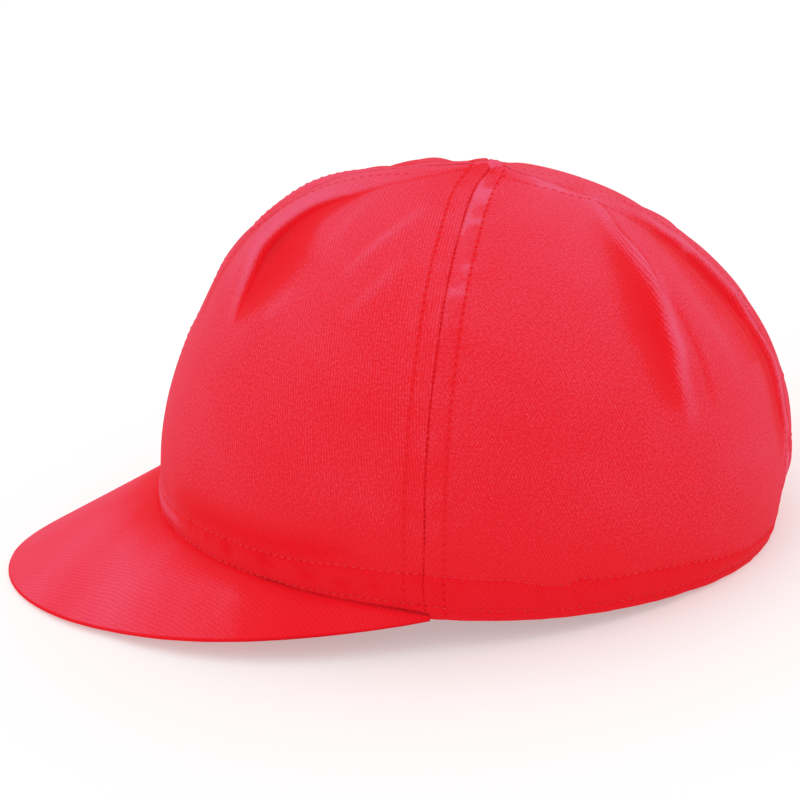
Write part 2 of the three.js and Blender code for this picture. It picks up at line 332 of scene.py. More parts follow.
# Fineness of the panels' grids
PANEL_COLUMNS = 240
PANEL_ROWS = 320
COARSE = 4
SEAM_COLUMNS = 28
SEAM_BAND = 9.5
NOISE_TILE = 64


def smooth_step(value):
    """Eases from 0 to 1 as the value goes from 0 to 1."""
    value = np.clip(value, 0, 1)
    return value * value * (3 - 2 * value)


def bell(distance, width):
    """A soft bump: 1 at no distance, near 0 at twice the width."""
    return np.exp(-((distance / width) ** 2))


def noise(x, y, cell, seed):
    """Seeded soft hills from -1 to 1 over a plane, each about a cell wide."""
    table = np.random.default_rng(seed).uniform(-1, 1, (NOISE_TILE, NOISE_TILE))
    x, y = np.broadcast_arrays(np.asarray(x, float) / cell, np.asarray(y, float) / cell)
    column, row = np.floor(x).astype(int), np.floor(y).astype(int)
    across, up = smooth_step(x - column), smooth_step(y - row)

    def corner(right, above):
        return table[(row + above) % NOISE_TILE, (column + right) % NOISE_TILE]

    low = corner(0, 0) * (1 - across) + corner(1, 0) * across
    high = corner(0, 1) * (1 - across) + corner(1, 1) * across
    return low * (1 - up) + high * up


def waves(x, y, seed, table):
    """Uneven waves of cloth over a plane, as a sum of soft hills."""
    hills = enumerate(table, seed)
    return sum(rise * noise(x, y * drawn, cell, number) for number, (rise, cell, drawn) in hills)


def lengths(vectors):
    return np.linalg.norm(vectors, axis=-1)


def unit(vectors):
    return vectors / np.maximum(lengths(vectors), 1e-12)[..., None]


def raised(points, directions, lift):
    """Points moved along their directions."""
    return points + directions * lift[..., None]


def arcs(points, axis):
    """Distance along a grid's lines of points, from their first point."""
    steps = lengths(np.diff(points, axis=axis))
    start = np.zeros_like(np.take(steps, [0], axis=axis))
    return np.concatenate((start, np.cumsum(steps, axis=axis)), axis=axis)


def curve(before, here, after, beyond, t):
    """A smooth curve from here to after as t goes from 0 to 1."""
    square = 2 * before - 5 * here + 4 * after - beyond
    cube = 3 * here - before - 3 * after + beyond
    return 0.5 * (2 * here + t * (after - before + t * (square + t * cube)))


def extended(values):
    """A row of values with one more at each end, on the line of the last two."""
    return np.concatenate(([2 * values[0] - values[1]], values, [2 * values[-1] - values[-2]]))


# Rest on the floor
TOUCH_DEPTH = PEAK_DROP + PEAK_CLOTH / 2
REST_PITCH = math.atan2(TOUCH_DEPTH, SECTIONS["back"][0] - PEAK_TIP_Y)
REST_LIFT = SECTIONS["back"][0] * math.sin(REST_PITCH) - SETTLE
REST_TURN = np.array(Matrix.Rotation(-REST_PITCH, 3, "X"))
REST_SHIFT = np.array((0, HALF_LENGTH_SHIFT, REST_LIFT))


def rest(points):
    """Tips points of the level cap back onto the floor, and presses flat what would go below it."""
    tipped = points @ REST_TURN.T + REST_SHIFT
    tipped[..., 2] = np.maximum(0, tipped[..., 2])
    return tipped * MM


def section_value(column, level):
    """One column of the sections at levels between its rows, on a smooth curve."""
    values = extended(SECTIONS[column])
    row = np.clip(np.floor(level).astype(int), 0, TOP_LEVEL - 1)
    return curve(*(values[row + step] for step in range(4)), level - row)


def smooth_crown(degrees, level):
    """Points of the crown's outer face without its folds."""
    degrees, level = np.broadcast_arrays(np.asarray(degrees, float), np.asarray(level, float))
    power = 2 / section_value("round", level)
    cos, sin = np.cos(np.radians(degrees)), np.sin(np.radians(degrees))
    seam = section_value("seam", level)
    reach = np.where(sin < 0, seam - section_value("front", level), section_value("back", level) - seam)
    return np.stack((
        section_value("side", level) * np.sign(cos) * np.abs(cos) ** power,
        seam + reach * np.sign(sin) * np.abs(sin) ** power,
        section_value("height", level),
    ), axis=-1)


def crown_normal(degrees, level):
    """Outward directions of the crown, which turn level towards the hem's edge."""
    turn, climb = 1, 0.04
    round_way = smooth_crown(degrees + turn, level) - smooth_crown(degrees - turn, level)
    up_way = smooth_crown(degrees, np.minimum(TOP_LEVEL, level + climb))
    up_way = up_way - smooth_crown(degrees, np.maximum(0, level - climb))
    normal = unit(np.cross(round_way, up_way))
    normal[..., 2] *= np.minimum(1, level)
    return unit(normal)


def smooth_path(path):
    """A smooth curve through knots of (degrees, level, values): its points on the crown, its values."""
    knots = extended(np.array(path, float))
    t = np.linspace(0, 1, FOLD_STEPS, endpoint=False)[:, None]
    spans = [curve(*four, t) for four in zip(knots, knots[1:], knots[2:], knots[3:])]
    line = np.concatenate(spans + [knots[-2:-1]])
    return smooth_crown(line[:, 0], line[:, 1]), line[:, 2:]


def along_path(near, places, values):
    """Distance from points to the nearest place of a path, and the path's values there.

    The distance is above 0 on the side towards the back of the cap and below 0 on the other.
    """
    normals = unit(places[1:] - np.array(CROWN_CENTRE))
    best = np.full(near.shape[:-1], 1e9)
    sign, found = np.ones_like(best), np.zeros(near.shape[:-1] + values.shape[1:])
    for start, end, normal, low, high in zip(places[:-1], places[1:], normals, values[:-1], values[1:]):
        way = end - start
        share = np.clip((near - start) @ way / (way @ way), 0, 1)[..., None]
        offset = near - start - share * way
        away = lengths(offset)
        closer = away < best
        best = np.where(closer, away, best)
        sign = np.where(closer, np.sign(offset @ np.cross(normal, way)), sign)
        found = np.where(closer[..., None], low + (high - low) * share, found)
    return best * sign, found


def soft_folds(folds, points):
    """How far some folds lift points of the smooth crown, and the painted light and shade they give them.
    """
    total = np.zeros((2,) + points.shape[:-1])
    for fold in folds:
        places, _ = smooth_path(fold["path"])
        ends = np.sin(np.pi * np.linspace(0, 1, len(places))) ** FOLD_END
        away, strength = along_path(points, places, ends[:, None])
        shape = strength[..., 0] * bell(away, fold["spread"])
        total += np.multiply.outer((fold["rise"], fold["fade"]), shape)
    return total


def creases(points):
    """The same for the creases: a hollow with painted shade on one side, a lip with a painted highlight
    on the other.
    """
    rise, fade = np.zeros((2,) + points.shape[:-1])
    for crease in CREASES:
        away, values = along_path(points, *smooth_path(crease["path"]))
        away = away * crease["side"]
        depth, width = np.maximum(0, values[..., 0]), values[..., 1]
        drop = smooth_step(away / crease["edge"])
        hollow = np.exp(-np.abs(away / (CREASE_HOLLOW * width)) ** HOLLOW_POWER)
        dark = np.exp(-np.abs(away / width) ** SHADE_POWER)
        rise -= depth * drop * hollow
        fade += depth * (CREASE_LIP_HIGHLIGHT * bell(away + 2, 2) - crease["dark"] * drop * dark)
    return np.array((rise, fade))


def folded(points):
    """How far all folds and creases lift points of the smooth crown, and the painted light and shade they
    give them.
    """
    near = points.copy()
    near[..., 0] = np.abs(near[..., 0])
    left = smooth_step(points[..., 0] / RIGHT_BLEND + 1)
    share = RIGHT_SHARE + (1 - RIGHT_SHARE) * left
    return share * soft_folds(FOLDS, near) + soft_folds(RIGHT_FOLDS, points) + creases(points)


def seam_degrees(seam, level):
    """Where a seam runs at a level. The side seams run straight up."""
    if seam % 180 == 0:
        return np.full(np.shape(level), float(seam))
    drift = BACK_DRIFT if seam == 90 else FRONT_DRIFT
    knots, rows = np.linspace(0, 1, DRIFT_KNOTS), np.linspace(0, 1, len(drift))
    values = np.pad(np.interp(knots, rows, drift), DRIFT_BLUR // 2, mode="edge")
    soft = np.convolve(values, np.ones(DRIFT_BLUR) / DRIFT_BLUR, mode="valid")
    return seam + np.interp(level, np.interp(knots, rows, DRIFT_LEVELS), soft)


LEVEL_TABLE = np.linspace(0, TOP_LEVEL, 4001)
HEIGHT_TABLE = section_value("height", LEVEL_TABLE)


def level_at(height):
    """The level at which the crown has a height."""
    return np.interp(height, HEIGHT_TABLE, LEVEL_TABLE)


def mirrored(degrees):
    """Degrees round the crown brought to the wearer's left half, from -90 to 90."""
    turned = (np.asarray(degrees, float) + 90) % 360 - 90
    return np.where(turned > 90, 180 - turned, turned)


def hem_line(degrees):
    return np.interp(mirrored(degrees), *zip(*HEM_LINE))


def lower_line(degrees):
    return np.interp(mirrored(degrees), *zip(*LOWER_LINE))


def pulses(along, pitch, power):
    """Bumps from 0 to 1, one in each pitch. The higher the power, the narrower they are."""
    return (0.5 + 0.5 * np.cos(2 * np.pi * along / pitch)) ** power


def holes(distance, along):
    """Where the stitches of a row enter the cloth."""
    return pulses(along, STITCH_PITCH, 6) * bell(distance, HOLE_WIDTH)


def stitch_row(distance, along):
    """Groove of a row of stitches, with a hole where each stitch enters."""
    return -ROW_DEPTH * bell(distance, ROW_WIDTH) - HOLE_DEPTH * holes(distance, along)


def seam_dots(across, along):
    """Where the seam's own stitches pull the two rolled edges together."""
    uneven = 0.6 + 0.4 * noise(along, 0, 2.7, SEAM_DOT_SEED)
    return uneven * pulses(along, SEAM_DOT_PITCH, 3) * bell(across, SEAM_DOT_WIDTH)


def seam_relief(across, along, seed, show, tight):
    """Height of the cloth beside a seam: rolled edge, double cloth up to its stitch row, puckers."""
    roll = -show * (SEAM_DEPTH * bell(across, SEAM_ROLL) + SEAM_DOT_DEPTH * seam_dots(across, along))
    ledge = ALLOWANCE_LIFT * (1 - smooth_step((across - SEAM_ROW + 0.6) / 2))
    beside = 1 - smooth_step((across - 5) / 9)
    puckers = tight * waves(along, across, seed, SEAM_WAVES) * beside
    return roll + ledge + show * stitch_row(across - SEAM_ROW, along) + puckers


def seam_painted_light(across, along, seed, show, tight, patchy):
    """Painted light and shade beside a seam: painted shade in the dots along it and in its stitch row and
    holes, pale painted highlights on raised puckers where it is patchy, and a slightly deeper red in the
    strip elsewhere.
    """
    strip = smooth_step(across / 1.5) * (1 - smooth_step((across - SEAM_ROW + 1) / 2))
    pale = np.maximum(0, noise(along, across, SEAM_WAVES[0][1], seed) - 0.2)
    row = ROW_SHADE * bell(across - SEAM_ROW, ROW_WIDTH) + HOLE_SHADE * holes(across - SEAM_ROW, along)
    strip = strip * (STRIP_HIGHLIGHT * tight * pale * patchy - STRIP_DEEP * (1 - patchy))
    return strip - show * (DOT_SHADE * seam_dots(across, along) + row)


def hem_puckers(degrees, height):
    total = 0
    for place, up, wide, depth in HEM_PUCKERS:
        sideways = (mirrored(degrees) - place) * HEM_MM_PER_DEGREE
        total = total + depth * bell(sideways, wide) * bell(height - up, PUCKER_HEIGHT)
    return total


def hem_relief(degrees, height, around, seed):
    """Height of the cloth over the hem: its folded edge, the swell between its stitch rows, puckers."""
    upper, lower = hem_line(degrees), lower_line(degrees)
    edge = 1 - np.minimum(height, HEM_ROLL) / HEM_ROLL
    rolled = HEM_ROLL_DEPTH * (np.sqrt(np.clip(1 - edge**2, 0, 1)) - 1)
    between = np.clip((height - lower) / np.maximum(upper - lower, 1), 0, 1)
    swell = HEM_SWELL * np.sin(np.pi * between) ** 0.8
    below = EDGE_SWELL * np.sin(np.pi * np.clip(height / lower, 0, 1))
    rows = stitch_row(height - upper, around) + stitch_row(height - lower, around)
    uneven = waves(around, height, seed, HEM_WAVES) * smooth_step((upper + 5 - height) / 5)
    return rolled + swell + below + rows + uneven - hem_puckers(degrees, height)


def hem_painted_light(degrees, height, around):
    """Painted light and shade along the hem: painted shade over the band, in its puckers and stitch
    holes, and most of all in front, where the crown bags over it; painted highlights along the upper line
    and on the swell between the rows at the far front.
    """
    turn = mirrored(degrees)
    above = height - hem_line(degrees)
    band = 1 - smooth_step((above + 0.4) / 1.2)
    front = smooth_step((-8 - turn) / 14)
    far_front = 1 - smooth_step((turn + 64) / 14)
    middle = bell(height - 0.55 * (hem_line(degrees) + lower_line(degrees)), 3)
    # Painted shade under the crown where it bags over the hem
    bagging = BAG_SHADE * front * (1 - far_front) * bell(above - 4.5, 5)
    line = LINE_HIGHLIGHT * bell(above, 0.35) + FAR_HEM_HIGHLIGHT * far_front * middle
    rows = HOLE_SHADE * (holes(above, around) + holes(height - lower_line(degrees), around))
    return line - rows - PAINTED_HEM_SHADE * band - bagging - PUCKER_SHADE * hem_puckers(degrees, height)


def windows(grid, axis, reach):
    """The values near each place of a grid along one axis, on a new last axis."""
    padded = np.pad(grid, [(reach, reach) if side == axis else (0, 0) for side in (0, 1)], mode="edge")
    return np.lib.stride_tricks.sliding_window_view(padded, 2 * reach + 1, axis=axis)


def blurred(grid):
    """A grid with each value averaged over its surroundings."""
    for axis in (0, 0, 1, 1):
        grid = windows(grid, axis, TONE_BLUR).mean(axis=-1)
    return grid


def lowest(grid):
    """A grid with each value replaced by the lowest of its surroundings."""
    for axis in (0, 1):
        grid = windows(grid, axis, COARSE).min(axis=-1)
    return grid


class Panel:
    """A quarter of the crown between two seams, as a fine grid over its outer face."""

    def __init__(self, start, end, seed):
        self.start, self.end = start, end
        level = np.linspace(0, TIP_LEVEL, PANEL_ROWS + 1)[:, None]
        first, last = seam_degrees(start, level), seam_degrees(end, level)
        coarse = first + (last - first) * np.linspace(0, 1, 181)
        sweep = arcs(smooth_crown(coarse, level), 1)
        self.width = sweep[:, -1:]
        self.across = self.spread() * self.width
        self.degrees = np.array([np.interp(s, *lines) for s, *lines in zip(self.across, sweep, coarse)])
        self.level = np.broadcast_to(level, self.degrees.shape)
        self.smooth = smooth_crown(self.degrees, self.level)
        self.normal = crown_normal(self.degrees, self.level)
        middle_column = arcs(self.smooth, 0)[:, PANEL_COLUMNS // 2]
        self.up = np.broadcast_to(middle_column[:, None], self.degrees.shape)
        # The folds' lift, and the painted light and shade of folds and creases
        self.folds, self.tone = folded(self.smooth)
        self.relief = self.fine_relief(seed)
        cloth = waves(self.across, self.up, seed, CROWN_WAVES)
        turn = math.radians((start + end) / 2)
        self.away = np.sign((math.cos(turn), math.sin(turn), 0)) * CLOTH_GAP / 2
        self.outer = raised(self.smooth, self.normal, self.folds + self.relief + cloth) + self.away
        self.inner = raised(self.smooth, self.normal, lowest(self.folds) - PANEL_CLOTH) + self.away

    def spread(self):
        """Shares of the width at the columns of each row, crowded beside the seams."""
        band = np.minimum(SEAM_BAND, 0.3 * self.width) / self.width
        side = np.linspace(0, 1, SEAM_COLUMNS + 1) * band
        middle = np.linspace(0, 1, PANEL_COLUMNS - 2 * SEAM_COLUMNS + 1)[1:-1] * (1 - 2 * band) + band
        return np.concatenate((side, middle, 1 - side[:, ::-1]), axis=1)

    def weave(self, leans):
        """Places on the cloth in mm, drawn so that its ribs run straight up in them."""
        line = np.linspace(0, self.up.max() + 1, 200)
        lean = np.interp(line, WEAVE_HEIGHTS, leans)
        drift = np.concatenate(([0], np.cumsum(np.diff(line) * (lean[1:] + lean[:-1]) / 2)))
        drawn = self.across - self.width / 2 - np.interp(self.up, line, drift)
        return np.stack((drawn, self.up), axis=-1)

    def seams(self):
        """For both seams of the panel: distance from it, distance along it, seed and look."""
        for seam, across in ((self.start, self.across), (self.end, self.width - self.across)):
            line = smooth_crown(seam_degrees(seam, self.level[:, :1]), self.level[:, :1])
            # The two panels at a seam share its seed.
            yield across, arcs(line, 0), SEAM_SEED + seam % 360, *SEAM_LOOK[(seam + 90) % 360 - 90]

    def fine_relief(self, seed):
        height = self.smooth[..., 2]
        above_hem = smooth_step((height - hem_line(self.degrees) + 1) / 3)
        near_hem = 1 - smooth_step((height - hem_line(self.degrees) - 2) / 6)
        seams = sum(seam_relief(*seam) for seam in self.seams())
        hem = hem_relief(self.degrees, height, self.across, seed + 10)
        return seams * (0.45 + 0.55 * above_hem) + hem * near_hem

    def fade(self):
        """Painted light and shade in the cloth's colour at each point: lighter with height, a painted
        sheen towards the front and back, highlights on small ridges and shade in small hollows, and those
        of folds, creases, seams and the hem.
        """
        height = self.smooth[..., 2]
        # Painted light from above: lighter with height, and a painted sheen towards the front and back
        base = np.interp(height, *zip(*PAINTED_LIGHT_BY_HEIGHT))
        base = base + PAINTED_SHEEN_EDGE * (1 - np.cos(np.radians(mirrored(self.degrees))))
        # Painted highlights on small ridges and painted shade in small hollows
        fine = PAINTED_RELIEF_LIGHT * (self.relief - blurred(self.relief))
        patches = (smooth_step(self.level - STRIP_LEVEL), BACK_HIGHLIGHTS) if self.start == 0 else (0, 0)
        seams = sum(seam_painted_light(*seam, patchy) for seam, patchy in zip(self.seams(), patches))
        return base + fine + self.tone + seams + hem_painted_light(self.degrees, height, self.across)

    def place(self, degrees, level):
        """Points and outward directions on the outer face at lists of degrees and levels."""
        points, normals = [], []
        for turn, rise in zip(np.broadcast_to(degrees, np.shape(level)), level):
            row = min(PANEL_ROWS - 1, int(rise / TIP_LEVEL * PANEL_ROWS))
            share = rise / TIP_LEVEL * PANEL_ROWS - row
            for grid, found in ((self.outer, points), (self.normal, normals)):
                low, high = (
                    np.array([np.interp(turn, self.degrees[r], grid[r, :, axis]) for axis in range(3)])
                    for r in (row, row + 1)
                )
                found.append(low * (1 - share) + high * share)
        return np.array(points), unit(np.array(normals))


def quads(grid, flip=False):
    """The four corners of each cell of a grid of point numbers or of texture places."""
    cells = np.stack((grid[:-1, :-1], grid[:-1, 1:], grid[1:, 1:], grid[1:, :-1]), axis=2)
    cells = cells.reshape((-1, 4) + grid.shape[2:])
    return cells[:, ::-1] if flip else cells


def rim(fine, coarse, ratio):
    """Faces that join a fine edge to a coarse one, with ratio fine steps to a coarse step."""
    steps = np.arange(len(coarse) - 1)[:, None] * ratio + np.arange(ratio + 1)
    return np.concatenate((fine[steps], coarse[1:, None], coarse[:-1, None]), axis=1)


def numbered(grid, first, ring):
    """Point numbers for a grid. A ring's last column is its first."""
    rows, columns = grid.shape[:2]
    if not ring:
        return first + np.arange(rows * columns).reshape(rows, columns)
    ids = first + np.arange(rows * (columns - 1)).reshape(rows, columns - 1)
    return np.column_stack((ids, ids[:, 0]))


def add_mesh(name, points, faces, places, material, values=None):
    """Makes an object of faces, with texture places in mm and named values at its points."""
    mesh = bpy.data.meshes.new(name)
    corners = np.concatenate([group.ravel() for group in faces])
    sizes = np.concatenate([np.full(len(group), group.shape[1]) for group in faces])
    mesh.vertices.add(len(points))
    mesh.loops.add(len(corners))
    mesh.polygons.add(len(sizes))
    mesh.vertices.foreach_set("co", np.ascontiguousarray(points, np.float32).ravel())
    mesh.loops.foreach_set("vertex_index", corners.astype(np.int32))
    starts = np.concatenate(([0], np.cumsum(sizes)[:-1]))
    mesh.polygons.foreach_set("loop_start", starts.astype(np.int32))
    mesh.update(calc_edges=True)
    layer = mesh.uv_layers.new(name="cloth")
    flat = np.concatenate([group.reshape(-1, 2) for group in places])
    layer.data.foreach_set("uv", flat.astype(np.float32).ravel())
    for key, data in (values or {}).items():
        attribute = mesh.attributes.new(key, "FLOAT", "POINT")
        attribute.data.foreach_set("value", np.ascontiguousarray(data, np.float32))
    mesh.validate()
    mesh.shade_smooth()
    mesh.set_sharp_from_angle(angle=math.radians(55))
    mesh.materials.append(material)
    made = bpy.data.objects.new(name, mesh)
    bpy.context.scene.collection.objects.link(made)
    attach(made, "root")
    return made


def shell(name, outer, inner, place, material, ratio=1, ring=False, fade=None):
    """A closed cloth wall between a fine outer and a coarser inner grid."""
    outer_ids = numbered(outer, 0, ring)
    inner_ids = numbered(inner, outer_ids.max() + 1, ring)
    inner_place = place[::ratio, ::ratio]
    kept = slice(None, -1) if ring else slice(None)
    points = np.concatenate((outer[:, kept].reshape(-1, 3), inner[:, kept].reshape(-1, 3)))
    faces, places = [], []
    for target, fine, coarse in ((faces, outer_ids, inner_ids), (places, place, inner_place)):
        target.append(quads(fine))
        target.append(quads(coarse, flip=True))
        target.append(rim(fine[0], coarse[0], ratio)[:, ::-1])
        target.append(rim(fine[-1], coarse[-1], ratio))
        if not ring:
            target.append(rim(fine[:, 0], coarse[:, 0], ratio))
            target.append(rim(fine[:, -1], coarse[:, -1], ratio)[:, ::-1])
    values = {}
    # The outer points carry painted light and shade in their colour; the inside stays plain.
    if fade is not None:
        plain_inside = np.zeros(inner_ids.max() - outer_ids.max())
        values["fade"] = np.concatenate((fade[:, kept].ravel(), plain_inside))
    return add_mesh(name, rest(points), faces, places, material, values)


# Materials
TWILL_PITCH = 0.955
YARN_PITCH = 0.62 * TWILL_PITCH
RIB_SHARE = 0.8
# Colours of the cloth from a pale painted sheen, also reached by lint specks, over plain, to deep red
# painted shade and to the darker painted shade of holes and tight puckers
RED_PAINTED_SHEEN_AND_LINT = (0.825, 0.094, 0.172, 1)
RED_PLAIN = (0.815, 0.0165, 0.0275, 1)
RED_PAINTED_SHADE = (0.81, 0.006, 0.0135, 1)
RED_PAINTED_DARK_SHADE = (0.34, 0.003, 0.009, 1)
# Each colour blends in over a range of the painted light and shade
RED_RANGES = ((0, 1, RED_PAINTED_SHEEN_AND_LINT), (0, -1, RED_PAINTED_SHADE), (-1.3, -3, RED_PAINTED_DARK_SHADE))
# How much the ribs vary each of the cloth's red, green and blue
WEAVE_CONTRAST = (0.05, 0.36, 0.34)
WEAVE_WANDER = 1.2
FIBRE_CONTRAST = 1.1
BLOTCH_CONTRAST = 0.25
SPECK_CONTRAST = 0.55
GRAIN_CONTRAST = 0.2
# Scale and detail of the cloth's textures
WANDER_NOISE = (0.08, 2.0)
FIBRE_NOISE = (1.3, 4.0)
BLOTCH_NOISE = (0.035, 3.0)
LINT_NOISE = (1.9, 1.0)
LINT_RANGE = (0.68, 0.78)
CLOTH_BUMP = 0.11
FUZZ_BUMP = 0.7
RIB_BUMP = 0.5
CLOTH_ROUGHNESS = 0.72
ROUGH_FIBRES = 0.2
CLOTH_FINISH = {
    "Specular IOR Level": 0.04,
    "Sheen Weight": 0.06,
    "Sheen Roughness": 0.45,
    "Sheen Tint": (1.0, 0.62, 0.9, 1),
}
PLY_TURN = 7.0
PLY_BUMP = 0.08
THREAD_FINISH = {"Roughness": 0.6, "Specular IOR Level": 0.2}
# The floor is a pale light table, which keeps the cap's shadow soft.
FLOOR_GREYS = ((0.61, 0.61, 0.61, 1), (0.63, 0.63, 0.63, 1))
FLOOR_FINISH = {
    "Emission Color": (1, 1, 1, 1),
    "Emission Strength": 0.36,
    "Roughness": 0.9,
    "Specular IOR Level": 0.1,
}


def new_material(name, finish):
    """A material, its nodes and its shader, which has the finish's settings."""
    material = bpy.data.materials.new(name)
    material.use_nodes = True
    shader = material.node_tree.nodes["Principled BSDF"]
    for key, value in finish.items():
        shader.inputs[key].default_value = value
    return material, material.node_tree, shader


def node(tree, kind, inputs=None, **settings):
    made = tree.nodes.new(kind)
    for key, value in settings.items():
        setattr(made, key, value)
    for key, value in (inputs or {}).items():
        if isinstance(value, bpy.types.NodeSocket):
            tree.links.new(value, made.inputs[key])
        else:
            made.inputs[key].default_value = value
    return made


def calculate(tree, operation, *values):
    return node(tree, "ShaderNodeMath", dict(enumerate(values)), operation=operation).outputs[0]


def blend_colours(tree, share, first, second):
    # Sockets 6 and 7, and output 2, are the node's colours.
    inputs = {"Factor": share, 6: first, 7: second}
    return node(tree, "ShaderNodeMix", inputs, data_type="RGBA").outputs[2]


def texture_noise(tree, place, scale, detail):
    inputs = {"Vector": place, "Scale": scale, "Detail": detail}
    return node(tree, "ShaderNodeTexNoise", inputs).outputs[0]


def ranged(tree, value, start, end):
    """0 to 1 as the value goes from start to end."""
    inputs = {"Value": value, "From Min": start, "From Max": end}
    return node(tree, "ShaderNodeMapRange", inputs).outputs[0]


def bump(tree, height, distance):
    return node(tree, "ShaderNodeBump", {"Height": height, "Distance": distance * MM}).outputs[0]


def feed(tree, shader, inputs):
    for key, value in inputs.items():
        tree.links.new(value, shader.inputs[key])


def cloth_places(tree):
    return node(tree, "ShaderNodeUVMap", uv_map="cloth").outputs[0]


def cloth_material(name, lean=0, rib=1.0, rough=1.0):
    """Cotton twill: diagonal ribs in mm on the cloth's own places, fuzz, lint specks, soft sheen."""
    material, tree, shader = new_material(name, CLOTH_FINISH)
    place = cloth_places(tree)
    turn = {"Vector": place, "Rotation": (0, 0, math.radians(-lean))}
    turned = node(tree, "ShaderNodeMapping", turn).outputs[0]
    wander = texture_noise(tree, turned, *WANDER_NOISE)
    fibres = texture_noise(tree, turned, *FIBRE_NOISE)
    blotch = texture_noise(tree, place, *BLOTCH_NOISE)
    specks = ranged(tree, texture_noise(tree, place, *LINT_NOISE), *LINT_RANGE)

    split = node(tree, "ShaderNodeSeparateXYZ", {"Vector": turned}).outputs
    across = calculate(tree, "MULTIPLY_ADD", wander, WEAVE_WANDER, split[0])
    rib_phase = calculate(tree, "MULTIPLY", across, 2 * math.pi / TWILL_PITCH)
    yarn_phase = calculate(tree, "MULTIPLY_ADD", split[1], 2 * math.pi / YARN_PITCH, rib_phase)
    ribs = calculate(tree, "MULTIPLY", calculate(tree, "SINE", rib_phase), RIB_SHARE)
    weave = calculate(tree, "MULTIPLY_ADD", calculate(tree, "SINE", yarn_phase), 1 - RIB_SHARE, ribs)

    # The colour follows the painted light and shade stored at the points, plus lint specks, fibres and
    # blotches of random tone.
    fade = node(tree, "ShaderNodeAttribute", attribute_name="fade").outputs["Fac"]
    fade = calculate(tree, "MULTIPLY_ADD", specks, SPECK_CONTRAST, fade)
    for pattern, contrast in ((fibres, FIBRE_CONTRAST * rough), (blotch, BLOTCH_CONTRAST)):
        change = calculate(tree, "MULTIPLY_ADD", pattern, contrast, -contrast / 2)
        fade = calculate(tree, "ADD", fade, change)
    colour = RED_PLAIN
    for start, end, red in RED_RANGES:
        colour = blend_colours(tree, ranged(tree, fade, start, end), colour, red)

    contrast = GRAIN_CONTRAST * rough
    grain = calculate(tree, "MULTIPLY_ADD", fibres, contrast, 1 - contrast / 2)
    tints = [calculate(tree, "MULTIPLY_ADD", weave, share * rib, grain) for share in WEAVE_CONTRAST]
    tint = node(tree, "ShaderNodeCombineXYZ", dict(enumerate(tints))).outputs[0]
    rib_height = calculate(tree, "MULTIPLY", weave, RIB_BUMP * rib)
    fuzz = calculate(tree, "MULTIPLY_ADD", fibres, FUZZ_BUMP * rough, rib_height)
    tinted = node(tree, "ShaderNodeVectorMath", {0: colour, 1: tint}, operation="MULTIPLY")
    feed(tree, shader, {
        "Base Color": tinted.outputs[0],
        "Roughness": calculate(tree, "MULTIPLY_ADD", fibres, ROUGH_FIBRES, CLOTH_ROUGHNESS),
        "Normal": bump(tree, fuzz, CLOTH_BUMP),
    })
    return material


def thread_material(name, dark, light):
    """Sewing thread: two plies twisted round each other."""
    material, tree, shader = new_material(name, THREAD_FINISH)
    split = node(tree, "ShaderNodeSeparateXYZ", {"Vector": cloth_places(tree)}).outputs
    phase = calculate(tree, "MULTIPLY_ADD", split[0], PLY_TURN, split[1])
    ply = calculate(tree, "MULTIPLY_ADD", calculate(tree, "SINE", phase), 0.5, 0.5)
    feed(tree, shader, {
        "Base Color": blend_colours(tree, ply, dark, light),
        "Normal": bump(tree, ply, PLY_BUMP),
    })
    return material


def floor_material():
    material, tree, shader = new_material("pale_studio_floor", FLOOR_FINISH)
    spot = node(tree, "ShaderNodeTexCoord").outputs["Object"]
    grain = texture_noise(tree, spot, 3.0, 2.0)
    feed(tree, shader, {"Base Color": blend_colours(tree, grain, *FLOOR_GREYS)})
    return material


# Crown
SEAM_THREAD = thread_material("red_sewing_thread", (0.70, 0.010, 0.017, 1), (0.80, 0.020, 0.036, 1))
HEM_THREAD = thread_material("pale_red_sewing_thread", (0.76, 0.020, 0.035, 1), (0.84, 0.05, 0.085, 1))
TWILL = cloth_material("red_twill")
PANEL_TABLE = (
    ("front_left_panel", -90, 0, FRONT_LEANS, 11),
    ("back_left_panel", 0, 90, BACK_LEANS, 23),
    ("back_right_panel", 90, 180, BACK_LEANS, 37),
    ("front_right_panel", 180, 270, FRONT_LEANS, 41),
)


def crown_panel(name, start, end, leans, seed):
    panel = Panel(start, end, seed)
    inner = panel.inner[::COARSE, ::COARSE]
    place = panel.weave(leans)
    fade = panel.fade()
    made = shell(name + "_cloth", panel.outer, inner, place, TWILL, COARSE, fade=fade)
    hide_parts(name)
    return panel


PANELS = [crown_panel(*row) for row in PANEL_TABLE]

# Seam allowances, which close the seams from inside
ALLOWANCE_WIDTH = 7.6
ALLOWANCE_CLOTH = 0.6
ALLOWANCE_COLUMNS = 20
ALLOWANCE_ROWS = 150
ALLOWANCE_TOP = 8.75
ALLOWANCE_SEAT = 0.1
FRAY = 0.12
FRAY_CELL = 2.2
# How far the two raw edges part in the middle, and how wide the parting is
PARTING = 0.35
PARTING_WIDTH = 0.8
ALLOWANCES = {"front_allowance": -90, "left_allowance": 0, "back_allowance": 90, "right_allowance": 180}


